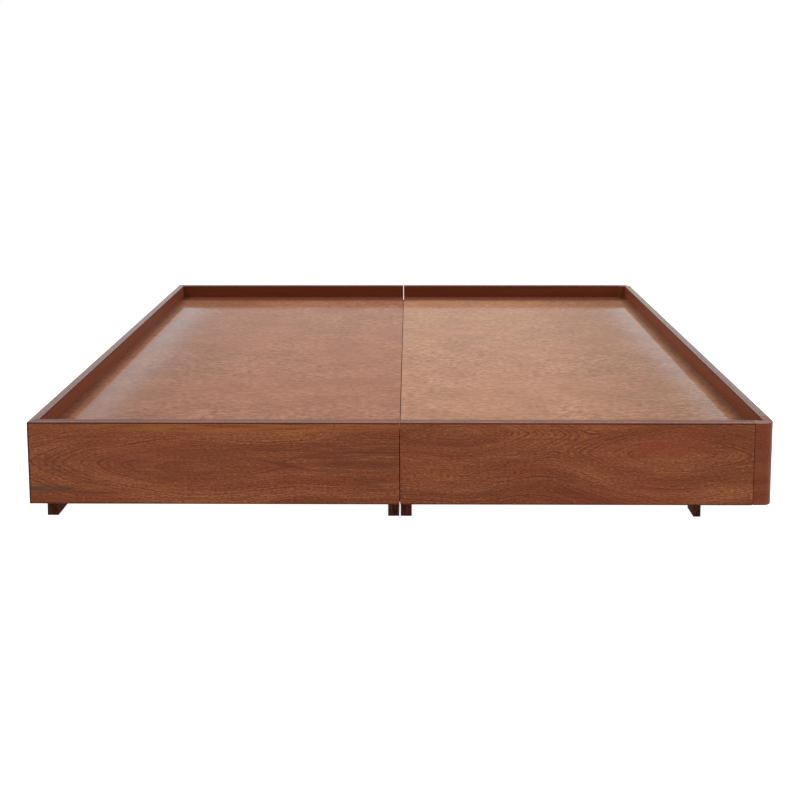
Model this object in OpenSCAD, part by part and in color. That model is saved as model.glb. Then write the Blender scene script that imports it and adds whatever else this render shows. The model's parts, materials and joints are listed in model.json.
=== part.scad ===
// Platform bed base in two modules, head and foot, joined across the middle.
// Each module has a drawer on the near side and one on the far side.
// X runs along the bed from head (-X) to foot (+X), Y across it, and Z up.
// The near side is -Y. The origin is on the floor, under the middle of the bed.

/* [Overall] */
// Length of the base from head to foot
base_length = 2035; // [1900:5:2200]
// Width of the base across the bed
base_width = 1635; // [1500:5:1900]
// Height of the feet, from the floor to the boards
foot_height = 50; // [30:5:100]
// Height of the outer boards
board_height = 230; // [220:5:300]
// Depth of the mattress well below the rim
well_depth = 50; // [30:5:60]
// Gap between the head module and the foot module
module_gap = 2; // [1:1:8]

/* [Boards] */
// Thickness of the outer boards and the drawer fronts
board_t = 15; // [12:1:22]
// Thickness of the fixed lips that hold the mattress
lip_t = 10; // [8:1:16]
// Thickness of the deck
deck_t = 15; // [12:1:20]
// Thickness of the upright panels under the deck
panel_t = 15; // [12:1:20]
// Gap between a drawer front and its neighbours
front_gap = 1; // [0.5:0.5:2]
// Width of the rounded posts at the foot end
post_w = 55; // [55:1:70]
// Radius of the rounded upright edge of a post
post_r = 27; // [10:1:27]

/* [Rails and feet] */
// Height of the bottom rails
rail_h = 20; // [15:1:24]
// Width of the cross rails
cross_rail_w = 40; // [34:2:60]
// Distance of the feet from the face of the near and far boards
foot_inset = 34; // [30:1:60]
// Width of the feet at the head end and in the middle
wide_foot_w = 31; // [26:1:34]
// Depth of the feet at the head end and in the middle
wide_foot_d = 70; // [50:5:100]
// Width of the feet near the foot end
narrow_foot_w = 20; // [18:1:30]
// Depth of the feet near the foot end
narrow_foot_d = 54; // [50:2:80]
// Distance of the head feet from the head end
head_foot_setback = 34; // [30:1:40]
// Distance of the narrow feet from the foot end
foot_foot_setback = 185; // [120:5:300]

/* [Drawers] */
// Depth of a drawer box behind its front
drawer_depth = 707; // [600:1:715]
// Height of a drawer box
drawer_h = 117; // [110:1:120]
// Gap between the bottom rails and a drawer box
drawer_lift = 8; // [6:1:12]
// Thickness of the drawer sides and back
side_t = 12; // [10:1:15]
// Thickness of the drawer bottom
bottom_t = 6; // [4:1:8]
// Height of the drawer bottom above the lower edge of the sides
bottom_rise = 6; // [4:1:10]
// Depth of the groove that holds the drawer bottom
groove_depth = 5; // [3:1:6]
// Length of the finger groove's ends, left plain at each side of a front
grip_margin = 60; // [30:5:120]
// Height of the finger groove
grip_h = 18; // [12:1:20]
// Depth of the finger groove
grip_d = 8; // [6:1:9]

/* [Slides] */
// Length of the drawer slides
slide_length = 700; // [550:10:700]
// Height of the fixed member of a slide
slide_h = 45; // [40:1:50]
// Gap between a carcass panel and a drawer side, filled by a slide
slide_gap = 13; // [12.5:0.5:14]
// Wall thickness of the slide members
slide_wall = 1.2; // [1:0.1:1.5]

/* [Hidden] */
$fn = 48;

// Colours of the finishes
walnut = [0.50, 0.29, 0.19];
deck_tan = [0.70, 0.51, 0.43];
dark_wood = [0.17, 0.10, 0.08];
plywood = [0.80, 0.66, 0.48];
steel = [0.72, 0.73, 0.75];
felt = [0.08, 0.07, 0.07];

// Heights
z_board = foot_height;
z_top = foot_height + board_height;
z_deck = z_top - well_depth;
z_carcass = z_deck - deck_t;
z_rail = z_board + rail_h;

// Planes across and along the bed, all measured from its middle
x_end = base_length / 2;
y_face = base_width / 2;
x_gap = module_gap / 2;
front_clearance = 0.5;
x_board = x_end - board_t;
x_lip = x_board - lip_t;
y_carcass = y_face - board_t - front_clearance;
y_lip = y_carcass - lip_t;
x_post = x_end - post_w;
y_post = y_face - post_w;

// Drawer openings between the carcass panels
x_head_opening = [-x_board + panel_t, -x_gap - panel_t];
x_foot_opening = [x_gap + panel_t, x_post - panel_t];
spine_t = panel_t;

// Drawer boxes
y_drawer_back = y_face - board_t - drawer_depth;
z_drawer = z_rail + drawer_lift;
z_drawer_top = z_drawer + drawer_h;
z_bottom = z_drawer + bottom_rise;
x_head_front = [-x_board + front_gap, -x_gap];
x_foot_front = [x_gap, x_post - front_gap];

// Slides, from the carcass panel to the drawer side
slide_setback = 5;
mid_member_drop = 5.4;
runner_drop = 13;
slide_clearance = 1;
mid_member_start = 4;
runner_start = 6;
z_slide = z_drawer + drawer_h / 2;
y_slide = y_carcass - slide_setback;
mid_h = slide_h - mid_member_drop;
runner_h = slide_h - runner_drop;
track_t = slide_gap - slide_clearance;
mid_t = [mid_member_start, slide_gap - slide_clearance];

// Bottom rails stand back from the fronts, so that fingers reach the grip
rail_setback = 12;
rail_w = 20;
y_rail = y_carcass - rail_setback;

// Left edges of the feet, from head to foot. A narrow gap parts the two middle rows.
mid_foot_gap = 1;
x_head_feet = -x_end + head_foot_setback;
x_mid_feet = [-x_gap - mid_foot_gap - wide_foot_w, x_gap + mid_foot_gap];
x_narrow_feet = x_end - foot_foot_setback - narrow_foot_w;

// Felt strips between the modules
joint_strip_w = 20;

// Fasteners
bolt_r = 4;
bolt_head_r = 7;
bolt_head_h = 5;
bolt_clearance = 0.3;
nut_r = 6.5;
nut_h = 5;
connector_y = [250, 650];
connector_drop = 24;
connector_z = z_carcass - connector_drop;
foot_bolt_r = 3;
foot_bolt_head_r = 6;
foot_bolt_head_h = 4;
foot_bolt_recess = 12;
foot_bolt_spare = 6;
foot_bolt_tip = z_rail - foot_bolt_spare;

// The middle foot bolts go up into the cross rails, beside the centre panels
mid_bolt_offset = 8.5;
x_mid_bolt = x_gap + panel_t + mid_bolt_offset;

// Each row of feet: its left edge, the width and depth of a foot, and its bolts' place along the bed
wide_rows = [
  [x_head_feet, wide_foot_w, wide_foot_d, x_head_feet + wide_foot_w / 2],
  [x_mid_feet[0], wide_foot_w, wide_foot_d, -x_mid_bolt],
  [x_mid_feet[1], wide_foot_w, wide_foot_d, x_mid_bolt]
];
narrow_rows = [
  [x_narrow_feet, narrow_foot_w, narrow_foot_d, x_narrow_feet + narrow_foot_w / 2]
];

// Left edges of the cross rails, one over each row of feet
cross_rails_x = [
  x_head_opening[0],
  x_head_opening[1] - cross_rail_w,
  x_foot_opening[0],
  x_narrow_feet + (narrow_foot_w - cross_rail_w) / 2
];

// A square-cut board between two opposite corners
module board(low, high) {
  translate(low)
    cube(high - low);
}

// Children as they are on the near side (-1), or turned over to the far side (1)
module on_side(side) {
  if (side < 0) children();
  else mirror([0, 1, 0]) children();
}

// Children on both long sides
module on_both_sides() {
  on_side(-1) children();
  on_side(1) children();
}

// A lip that stands on the carcass panels, between the deck's edge and one drawer front
module side_lip(x, side) {
  color(walnut)
    on_side(side)
      board([x[0], -y_carcass, z_carcass], [x[1], -y_lip, z_top]);
}

// A deck, let in between the lips
module deck(x) {
  color(deck_tan)
    board([x[0], -y_lip, z_carcass], [x[1], y_lip, z_deck]);
}

// A square post with one rounded upright edge, and a corner cut away for the deck and the mattress
module post(side) {
  color(walnut)
    on_side(side)
      difference() {
        union() {
          translate([x_end - post_r, -y_face + post_r, z_board])
            cylinder(r = post_r, h = board_height, $fn = 96);
          board([x_post, -y_face, z_board], [x_end - post_r, -y_post, z_top]);
          board([x_end - post_r, -y_face + post_r, z_board], [x_end, -y_post, z_top]);
        }
        board([x_post - 1, -y_lip, z_carcass], [x_lip, -y_post + 1, z_top + 1]);
      }
}

// An upright carcass panel, drilled for the connector bolts where it is in the middle
module carcass_panel(x, drilled) {
  color(plywood)
    difference() {
      board([x[0], -y_carcass, z_board], [x[1], y_carcass, z_carcass]);
      if (drilled)
        at_connectors()
          translate([0, 0, x[0] - 1])
            cylinder(r = bolt_r + bolt_clearance, h = x[1] - x[0] + 2);
    }
}

// Children at each connector bolt, with their Z axis along the bed
module at_connectors() {
  for (side = [-1, 1], y = connector_y)
    translate([0, side * y, connector_z])
      rotate([0, 90, 0])
        children();
}

// Two rails under one module, one along each long side
module bottom_rails(x) {
  color(plywood)
    on_both_sides()
      board([x[0], -y_rail, z_board], [x[1], -y_rail + rail_w, z_rail]);
}

// Children at both foot bolts of every row in a list
module at_foot_bolts(rows) {
  for (row = rows)
    on_both_sides()
      translate([row[3], -y_face + foot_inset + row[2] / 2, 0])
        children();
}

// The space that a foot bolt needs, from its recess in the foot to its tip
module foot_bolt_hole() {
  translate([0, 0, -1])
    cylinder(r = foot_bolt_head_r + bolt_clearance, h = foot_bolt_recess + 1);
  cylinder(r = foot_bolt_r + bolt_clearance, h = foot_bolt_tip + bolt_clearance);
}

// Both feet of every row in a list, drilled for their bolts
module feet(rows) {
  color(dark_wood)
    difference() {
      for (row = rows)
        on_both_sides()
          translate([row[0], -y_face + foot_inset, 0])
            cube([row[1], row[2], foot_height]);
      at_foot_bolts(rows)
        foot_bolt_hole();
    }
}

// One channel of a slide, from t[0] to t[1] off the panel, with its web on the side that is named
module channel(t, height, web_at_panel, y_front) {
  translate([t[0], y_front, z_slide - height / 2])
    difference() {
      cube([t[1] - t[0], slide_length, height]);
      translate([web_at_panel ? slide_wall : -1, -1, slide_wall])
        cube([t[1] - t[0] - slide_wall + 1, slide_length + 2, height - 2 * slide_wall]);
    }
}

// The same slide member at both ends of a drawer opening
module slide_pair(x, side) {
  color(steel)
    on_side(side) {
      translate([x[0], 0, 0])
        children();
      translate([x[1], 0, 0])
        mirror([1, 0, 0])
          children();
    }
}

// Fixed slide members, screwed to the carcass panels
module tracks(x, side) {
  slide_pair(x, side)
    channel([0, track_t], slide_h, true, -y_slide);
}

// Middle slide members, which travel half as far as the drawer
module slides(x, side) {
  slide_pair(x, side)
    channel(mid_t, mid_h, true, -y_slide);
}

// Inner slide members, screwed to the drawer sides
module runners(x, side) {
  slide_pair(x, side)
    channel([runner_start, slide_gap], runner_h, false, -y_slide);
}

// A full-height drawer front with a groove for the bottom and a finger groove along its lower edge.
// x is its back's reach. A mitre takes its face further, to the corner of the bed.
module front(x, opening, side, mitre) {
  color(walnut)
    on_side(side)
      difference() {
        translate([0, 0, z_board])
          linear_extrude(board_height)
            polygon([[x[0] - mitre, -y_face], [x[1], -y_face],
                     [x[1], -y_face + board_t], [x[0], -y_face + board_t]]);
        board([x[0] + grip_margin, -y_face + board_t - grip_d, z_board - 1],
              [x[1] - grip_margin, -y_face + board_t + 1, z_board + grip_h]);
        drawer_bottom(opening);
      }
}

// The outline of a drawer's bottom, let into the grooves all round
module drawer_bottom(opening) {
  inset = slide_gap + side_t - groove_depth;
  board([opening[0] + inset, -y_face + board_t - groove_depth, z_bottom],
        [opening[1] - inset, -y_drawer_back - side_t + groove_depth, z_bottom + bottom_t]);
}

// One drawer side, at the low or the high end of the opening
module drawer_side(opening, end, side) {
  x = end < 0 ? opening[0] + slide_gap : opening[1] - slide_gap - side_t;
  color(plywood)
    on_side(side)
      difference() {
        board([x, -y_face + board_t, z_drawer], [x + side_t, -y_drawer_back, z_drawer_top]);
        drawer_bottom(opening);
      }
}

// A drawer back between its two sides
module drawer_back(opening, side) {
  inset = slide_gap + side_t;
  color(plywood)
    on_side(side)
      difference() {
        board([opening[0] + inset, -y_drawer_back - side_t, z_drawer],
              [opening[1] - inset, -y_drawer_back, z_drawer_top]);
        drawer_bottom(opening);
      }
}

// A drawer bottom
module bottom(opening, side) {
  color(plywood)
    on_side(side)
      drawer_bottom(opening);
}

// The head end: one board across the whole width, mitred at both ends to meet the drawer fronts
module head_end_board() {
  color(walnut)
    translate([0, 0, z_board])
      linear_extrude(board_height)
        polygon([[-x_end, -y_face], [-x_board, -y_face + board_t],
                 [-x_board, y_face - board_t], [-x_end, y_face]]);
}

// The foot end board, between the two posts
module foot_end_board() {
  color(walnut)
    board([x_board, -y_post, z_board], [x_end, y_post, z_top]);
}

module post_near() post(-1);
module post_far() post(1);

module deck_head() deck([-x_lip, -x_gap]);
module deck_foot() deck([x_gap, x_lip]);

module lip_near_head() side_lip([-x_board, -x_gap], -1);
module lip_far_head() side_lip([-x_board, -x_gap], 1);
module lip_near_foot() side_lip([x_gap, x_post], -1);
module lip_far_foot() side_lip([x_gap, x_post], 1);

module lip_head_end() {
  color(walnut)
    board([-x_board, -y_lip, z_carcass], [-x_lip, y_lip, z_top]);
}

module lip_foot_end() {
  color(walnut)
    board([x_lip, -y_post, z_carcass], [x_board, y_post, z_top]);
}

module panel_head_outer() carcass_panel([-x_board, -x_board + panel_t], false);
module panel_head_inner() carcass_panel([-x_gap - panel_t, -x_gap], true);
module panel_foot_inner() carcass_panel([x_gap, x_gap + panel_t], true);
module panel_foot_outer() carcass_panel([x_post - panel_t, x_post], false);

// A spine stands on the cross rails and separates the near drawer from the far one
module spine(x) {
  color(plywood)
    difference() {
      board([x[0], -spine_t / 2, z_board], [x[1], spine_t / 2, z_carcass]);
      cross_rail_blocks();
    }
}

module spine_head() spine(x_head_opening);
module spine_foot() spine(x_foot_opening);

module bottom_rails_head() bottom_rails(x_head_opening);
module bottom_rails_foot() bottom_rails(x_foot_opening);

module cross_rail_blocks() {
  for (x = cross_rails_x)
    board([x, -y_rail + rail_w, z_board], [x + cross_rail_w, y_rail - rail_w, z_rail]);
}

module cross_rails() {
  color(plywood)
    difference() {
      cross_rail_blocks();
      at_foot_bolts(concat(wide_rows, narrow_rows))
        foot_bolt_hole();
    }
}

module feet_wide() feet(wide_rows);
module feet_narrow() feet(narrow_rows);

module connector_bolts() {
  color(steel)
    at_connectors() {
      translate([0, 0, -x_gap - panel_t - bolt_head_h])
        cylinder(r = bolt_head_r, h = bolt_head_h);
      translate([0, 0, -x_gap - panel_t])
        cylinder(r = bolt_r, h = 2 * (x_gap + panel_t) + nut_h + 1);
    }
}

module connector_nuts() {
  color(steel)
    at_connectors()
      translate([0, 0, x_gap + panel_t])
        difference() {
          cylinder(r = nut_r, h = nut_h, $fn = 6);
          translate([0, 0, -1])
            cylinder(r = bolt_r + bolt_clearance, h = nut_h + 2);
        }
}

// Felt strips that keep the two modules apart, upright between the centre panels on each long side
module joint_strips() {
  color(felt)
    on_both_sides()
      board([-x_gap, -y_carcass, z_board], [x_gap, -y_carcass + joint_strip_w, z_carcass]);
}

module foot_bolts() {
  color(steel)
    at_foot_bolts(concat(wide_rows, narrow_rows)) {
      translate([0, 0, foot_bolt_recess - foot_bolt_head_h])
        cylinder(r = foot_bolt_head_r, h = foot_bolt_head_h);
      translate([0, 0, foot_bolt_recess])
        cylinder(r = foot_bolt_r, h = foot_bolt_tip - foot_bolt_recess);
    }
}

module tracks_near_head() tracks(x_head_opening, -1);
module tracks_far_head() tracks(x_head_opening, 1);
module tracks_near_foot() tracks(x_foot_opening, -1);
module tracks_far_foot() tracks(x_foot_opening, 1);

module slides_near_head() slides(x_head_opening, -1);
module slides_far_head() slides(x_head_opening, 1);
module slides_near_foot() slides(x_foot_opening, -1);
module slides_far_foot() slides(x_foot_opening, 1);

module runners_near_head() runners(x_head_opening, -1);
module runners_far_head() runners(x_head_opening, 1);
module runners_near_foot() runners(x_foot_opening, -1);
module runners_far_foot() runners(x_foot_opening, 1);

module front_near_head() front(x_head_front, x_head_opening, -1, board_t);
module front_far_head() front(x_head_front, x_head_opening, 1, board_t);
module front_near_foot() front(x_foot_front, x_foot_opening, -1, 0);
module front_far_foot() front(x_foot_front, x_foot_opening, 1, 0);

module left_side_near_head() drawer_side(x_head_opening, -1, -1);
module left_side_far_head() drawer_side(x_head_opening, -1, 1);
module left_side_near_foot() drawer_side(x_foot_opening, -1, -1);
module left_side_far_foot() drawer_side(x_foot_opening, -1, 1);

module right_side_near_head() drawer_side(x_head_opening, 1, -1);
module right_side_far_head() drawer_side(x_head_opening, 1, 1);
module right_side_near_foot() drawer_side(x_foot_opening, 1, -1);
module right_side_far_foot() drawer_side(x_foot_opening, 1, 1);

module back_near_head() drawer_back(x_head_opening, -1);
module back_far_head() drawer_back(x_head_opening, 1);
module back_near_foot() drawer_back(x_foot_opening, -1);
module back_far_foot() drawer_back(x_foot_opening, 1);

module bottom_near_head() bottom(x_head_opening, -1);
module bottom_far_head() bottom(x_head_opening, 1);
module bottom_near_foot() bottom(x_foot_opening, -1);
module bottom_far_foot() bottom(x_foot_opening, 1);

head_end_board();
foot_end_board();
post_near();
post_far();
deck_head();
deck_foot();
lip_near_head();
lip_far_head();
lip_near_foot();
lip_far_foot();
lip_head_end();
lip_foot_end();
panel_head_outer();
panel_head_inner();
panel_foot_inner();
panel_foot_outer();
spine_head();
spine_foot();
bottom_rails_head();
bottom_rails_foot();
cross_rails();
feet_wide();
feet_narrow();
connector_bolts();
connector_nuts();
joint_strips();
foot_bolts();
tracks_near_head();
tracks_far_head();
tracks_near_foot();
tracks_far_foot();
slides_near_head();
slides_far_head();
slides_near_foot();
slides_far_foot();
runners_near_head();
runners_far_head();
runners_near_foot();
runners_far_foot();
front_near_head();
front_far_head();
front_near_foot();
front_far_foot();
left_side_near_head();
left_side_far_head();
left_side_near_foot();
left_side_far_foot();
right_side_near_head();
right_side_far_head();
right_side_near_foot();
right_side_far_foot();
back_near_head();
back_far_head();
back_near_foot();
back_far_foot();
bottom_near_head();
bottom_far_head();
bottom_near_foot();
bottom_far_foot();
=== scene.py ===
# %% [markdown]
# # A walnut platform bed base with four drawers
#
# The finished CAD model is loaded first. It holds every board at its true place and size, in metres,
# with X from head to foot, Y from the near long side to the far one, and Z up. The finished pieces take
# their places and sizes from those boards, so nothing has to be fitted by eye. The box round the whole
# model is kept now: its top and faces give the heights and places that the finishes are measured from.

# %% Load the frame
import json
import math

import bmesh
import bpy
from mathutils import Matrix, Vector


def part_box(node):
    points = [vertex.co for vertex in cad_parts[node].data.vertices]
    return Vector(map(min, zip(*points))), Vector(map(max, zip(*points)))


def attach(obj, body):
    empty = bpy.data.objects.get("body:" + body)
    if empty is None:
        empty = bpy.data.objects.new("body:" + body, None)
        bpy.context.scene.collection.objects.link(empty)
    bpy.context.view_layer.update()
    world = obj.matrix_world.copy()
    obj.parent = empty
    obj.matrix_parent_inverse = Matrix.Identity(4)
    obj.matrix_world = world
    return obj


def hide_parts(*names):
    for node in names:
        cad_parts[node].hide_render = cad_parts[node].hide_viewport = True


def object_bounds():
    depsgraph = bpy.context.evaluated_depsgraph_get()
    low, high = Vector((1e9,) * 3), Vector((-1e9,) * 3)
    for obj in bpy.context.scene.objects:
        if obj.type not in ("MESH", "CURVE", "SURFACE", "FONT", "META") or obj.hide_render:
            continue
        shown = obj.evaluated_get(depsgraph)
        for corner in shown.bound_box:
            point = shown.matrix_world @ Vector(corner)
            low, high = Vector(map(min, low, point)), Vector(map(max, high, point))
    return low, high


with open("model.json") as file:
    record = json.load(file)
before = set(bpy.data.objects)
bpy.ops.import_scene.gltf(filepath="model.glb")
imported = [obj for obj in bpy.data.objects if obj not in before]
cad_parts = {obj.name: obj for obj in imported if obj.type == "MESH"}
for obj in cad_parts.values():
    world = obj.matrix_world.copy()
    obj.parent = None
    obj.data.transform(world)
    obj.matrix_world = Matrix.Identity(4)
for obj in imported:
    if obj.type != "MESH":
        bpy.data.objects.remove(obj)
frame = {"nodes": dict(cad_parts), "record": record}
cad_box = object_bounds()
body_of = {node: body for body, nodes in frame["record"]["behaviour"]["bodies"].items() for node in nodes}


def rounded(box):
    """The two corners of a box, short enough to print."""
    return [tuple(round(c, 4) for c in corner) for corner in box]


print("nodes:", len(frame["nodes"]), "box:", rounded(cad_box))

# %% [markdown]
# ## The camera
#
# A catalogue picture of a bed is taken from chest height with a slightly long lens. The camera looks
# almost level, so that upright edges stay nearly upright, and the frame is shifted down to bring the bed
# into it, as with a shift lens. The camera could be turned down all the way instead, but then the sides
# would lean in. A camera that isn't turned looks straight down. Read from the right, the turn rolls it by
# a hair about its own axis, lifts it until it is a few degrees short of level, and swings it to the left.

# %% Place the camera
CAMERA_PLACE = Vector((0.0290, -3.1760, 1.2125))
PITCH_DOWN, YAW, ROLL = math.radians(5.22), math.radians(0.63), math.radians(-0.15)
LENS_MM, SENSOR_MM = 40.36, 36
SHIFT_DOWN = 0.30

camera = bpy.data.objects.new("camera", bpy.data.cameras.new("camera"))
bpy.context.scene.collection.objects.link(camera)
camera.data.lens = LENS_MM
camera.data.sensor_width = SENSOR_MM
camera.data.shift_y = -SHIFT_DOWN
turn = (Matrix.Rotation(YAW, 4, "Z") @ Matrix.Rotation(math.pi / 2 - PITCH_DOWN, 4, "X")
        @ Matrix.Rotation(ROLL, 4, "Z"))
camera.matrix_world = Matrix.Translation(CAMERA_PLACE) @ turn
bpy.context.scene.camera = camera
print("camera:", [round(c, 3) for c in camera.matrix_world.translation])

# %% [markdown]
# ## Writing materials as arithmetic
#
# A procedural material is a graph of nodes, and most of them do sums. Wiring them one by one hides the
# idea, so one small class stands for the output of a node and overloads the operators: a line such as
# `1 - mask * 0.3` then adds the Math nodes that it needs. Every other kind of node comes from the
# `node` method of `Finish`, which sets the node's options first and then its sockets.

# %% A socket that does arithmetic
class Wire:
    """The output of a node, in sums with numbers and other outputs."""

    def __init__(self, finish, socket):
        self.finish, self.socket = finish, socket

    def math(self, operation, *values):
        return self.finish.node("Math", {"operation": operation}, dict(enumerate((self, *values))))

    def __add__(self, other):
        return self.math("ADD", other)

    def __sub__(self, other):
        return self.math("SUBTRACT", other)

    def __mul__(self, other):
        return self.math("MULTIPLY", other)

    def __truediv__(self, other):
        return self.math("DIVIDE", other)

    def __pow__(self, other):
        return self.math("POWER", other)

    def __neg__(self):
        return self.math("MULTIPLY", -1.0)

    def __radd__(self, other):
        return self.math("ADD", other)

    def __rmul__(self, other):
        return self.math("MULTIPLY", other)

    def __rsub__(self, other):
        return (-self).math("ADD", other)

    def __rtruediv__(self, other):
        return self.math("POWER", -1.0).math("MULTIPLY", other)

    def fraction(self):
        return self.math("FRACT")

    def size(self):
        return self.math("ABSOLUTE")

    def root(self):
        return self.math("SQRT")

    def soft_min(self, other, blend):
        return self.math("SMOOTH_MIN", other, blend)

    def higher_of(self, other):
        return self.math("MAXIMUM", other)

    def step(self, start, end):
        """0 before start, 1 after end, and a smooth rise between them."""
        return self.finish.node("MapRange", {"interpolation_type": "SMOOTHSTEP"}, {0: self, 1: start, 2: end})


print("sums with the number first:", [name for name in vars(Wire) if name.startswith("__r")])


# %% A material that is built node by node
class Finish:
    """A new material, and the nodes that are added to it."""

    def __init__(self, name):
        self.material = bpy.data.materials.new(name)
        self.material.use_nodes = True
        self.tree = self.material.node_tree
        self.tree.nodes.clear()
        place = self.node("TexCoord", {}, {}, "Object")
        axes = self.node("SeparateXYZ", {}, {0: place}, None)
        self.x, self.y, self.z = (Wire(self, axes.outputs[i]) for i in range(3))

    def node(self, kind, settings, sockets, output=0):
        """Adds a node, sets its options, fills its sockets, and returns one output, or the node."""
        made = self.tree.nodes.new("ShaderNode" + kind)
        for option, value in settings.items():
            setattr(made, option, value)
        for socket, value in sockets.items():
            if isinstance(value, Wire):
                self.tree.links.new(value.socket, made.inputs[socket])
            else:
                made.inputs[socket].default_value = value
        return made if output is None else Wire(self, made.outputs[output])

    def noise(self, x, y, z, detail=2.0, roughness=0.5):
        """Noise of about 0 to 1, with one blob to each unit of x, y and z."""
        place = self.node("CombineXYZ", {}, {0: x, 1: y, 2: z})
        sockets = {"Vector": place, "Scale": 1.0, "Detail": detail, "Roughness": roughness}
        return self.node("TexNoise", {}, sockets)

    def mix(self, factor, first, second, blend="MIX"):
        """A colour between two colours."""
        settings = {"data_type": "RGBA", "blend_type": blend, "clamp_factor": True}
        return self.node("Mix", settings, {0: factor, 6: first, 7: second}, 2)

    def finish(self, colour, roughness, height, height_scale, extra):
        """Ends the material with its shader. Height is a bump in units of height_scale metres.

        Extra holds the shader's other sockets.
        """
        bump = self.node("Bump", {}, {"Strength": 1.0, "Distance": height_scale, "Height": height})
        sockets = {"Base Color": colour, "Roughness": roughness, "Normal": bump, **extra}
        shader = self.node("BsdfPrincipled", {}, sockets)
        self.node("OutputMaterial", {}, {"Surface": shader}, None)
        return self.material


print("a finish can:", [name for name in vars(Finish) if not name.startswith("_")])


# %% Colours as they are picked on a screen
def linear(red, green, blue):
    """A colour as it is picked on a screen, from 0 to 255, in the linear values that a shader needs."""
    values = [c / 255 for c in (red, green, blue)]
    return (*[v / 12.92 if v <= 0.04045 else ((v + 0.055) / 1.055) ** 2.4 for v in values], 1.0)


print("walnut in linear values:", [round(c, 3) for c in linear(128, 75, 48)])

# %% [markdown]
# ## Flat-cut walnut veneer
#
# A flat-cut veneer slices through the tree's growth rings almost along them, so they show as nested
# pointed loops, called cathedrals, that run into straight lines towards the edges of the leaf. The
# pattern could be a wood texture with noise, but that has no eyes. Here the distance to one or more
# long ellipses stands for the depth into the tree, and a soft minimum joins them. A power below 2 makes
# the ellipses pointed, and noise makes them sway and tremble. Each ring is light and then ends in a dark
# line of latewood. On top lie fibres, pores, the short speckle of cut vessels and slow changes of tone.
#
# `along` is the grain's direction. `across` is height for an upright board, plus the distance in from
# its outer face, so that the lines also run lengthwise along its top edge.

# %% The veneer's browns and its rings
WALNUT_DARK = linear(80, 35, 16)
WALNUT_MID = linear(108, 56, 30)
WALNUT_LIGHT = linear(140, 83, 50)
WALNUT_RED = linear(112, 46, 26)
WALNUT_GOLD = linear(140, 84, 38)
RINGS_PER_METRE = 190
POINTEDNESS = 1.4
SWAY, TREMBLE, EYE_BLEND = 0.07, 0.010, 0.04
UNEVEN_RINGS = 0.02
GRAIN_RELIEF = 0.00012
LACQUER = {"Specular IOR Level": 0.09}


def ring_depth(finish, along, across, seed, eyes):
    """Depth into the tree, in metres, round one or more eyes."""
    sway = (finish.noise(along * 1.6, across * 4, seed) - 0.5) * SWAY
    tremble = (finish.noise(along * 14, across * 45, seed + 3) - 0.5) * TREMBLE
    depth = None
    for eye_along, eye_across, stretch, lean in eyes:
        off_centre = along - eye_along
        run = (off_centre.size() + off_centre * lean) / stretch
        rise = (across + sway + tremble - eye_across).size()
        loop = (run ** POINTEDNESS + rise ** POINTEDNESS) ** (1 / POINTEDNESS)
        depth = loop if depth is None else depth.soft_min(loop, EYE_BLEND)
    return depth


print("rings to a metre of depth:", RINGS_PER_METRE)


# %% The veneer's grain
def veneer_colour(finish, along, across, seed, eyes, contrast=1.0):
    """(colour, relief) of a flat-cut leaf. An eye is given as (along, across, stretch, lean)."""
    depth = ring_depth(finish, along, across, seed, eyes)
    uneven = finish.noise(depth * 30, seed, 0.0) * UNEVEN_RINGS
    ring = (depth + uneven) * RINGS_PER_METRE
    place_in_ring = ring.fraction()
    latewood = place_in_ring.step(0.45, 0.85) * (1 - place_in_ring.step(0.88, 1.0))
    strength = finish.noise(along * 2.5, ring * 0.7, seed + 7).step(0.25, 0.75)
    band = finish.noise(along * 0.8, ring * 0.16, seed + 9, 1.0)
    fine = finish.noise(along * 18, across * 420, seed + 11, 3.0, 0.6)
    streak = finish.noise(along * 4, across * 160, seed + 12, 2.0)
    fibre = finish.noise(along * 60, across * 1500, seed + 13, 2.0)
    speckle = finish.noise(along * 110, across * 340, seed + 15, 2.0)
    pores = finish.noise(along * 40, across * 900, seed + 17, 1.0).step(0.62, 0.72)
    patches = finish.noise(along * 3.1, across * 10, seed + 19)
    redness = finish.noise(along * 2.3, across * 9, seed + 23).step(0.45, 0.75)
    lightness = 0.50 + (band - 0.5) * 0.9 + (patches - 0.5) * 0.6 + (streak - 0.5) * 0.5
    lightness = lightness + (fine - 0.5) * 0.8 + (fibre - 0.5) * 0.3 + (speckle - 0.5) * 1.6
    lightness = lightness - latewood * strength * (0.60 * contrast)
    colour = finish.mix(lightness.step(-0.05, 0.50), WALNUT_DARK, WALNUT_MID)
    colour = finish.mix(lightness.step(0.40, 1.0), colour, WALNUT_LIGHT)
    colour = finish.mix(redness * 0.3, colour, WALNUT_RED)
    colour = finish.mix(pores * 0.45, colour, WALNUT_DARK)
    relief = fibre * 0.5 + fine * 0.3 - pores * 0.8 - latewood * strength * 0.25
    return colour, relief


print("an eye is given as (place along the grain, place across it, how drawn out it is, its lean)")

# %% [markdown]
# ## Marks of one leaf
#
# No two leaves are alike. The near front of the head module has a dark mineral streak low down near the
# head, a warm golden band under its top edge and a few dark flecks near its other end, and the front of
# the foot module has redder patches. They could be drawn as curves, but their edges are soft. Here each
# is an ellipse with a smooth edge, broken up by the same kind of noise that makes the grain.

# %% Soft spots
def spot(finish, along, across, centre, reach):
    """1 at the centre and 0 beyond the reach, both given as (along, across)."""
    run, rise = (along - centre[0]) / reach[0], (across - centre[1]) / reach[1]
    return 1 - (run * run + rise * rise).root().step(0.35, 1.0)


print("a mark is given as (its centre, how far it reaches, its colour, its strength)")
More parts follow.
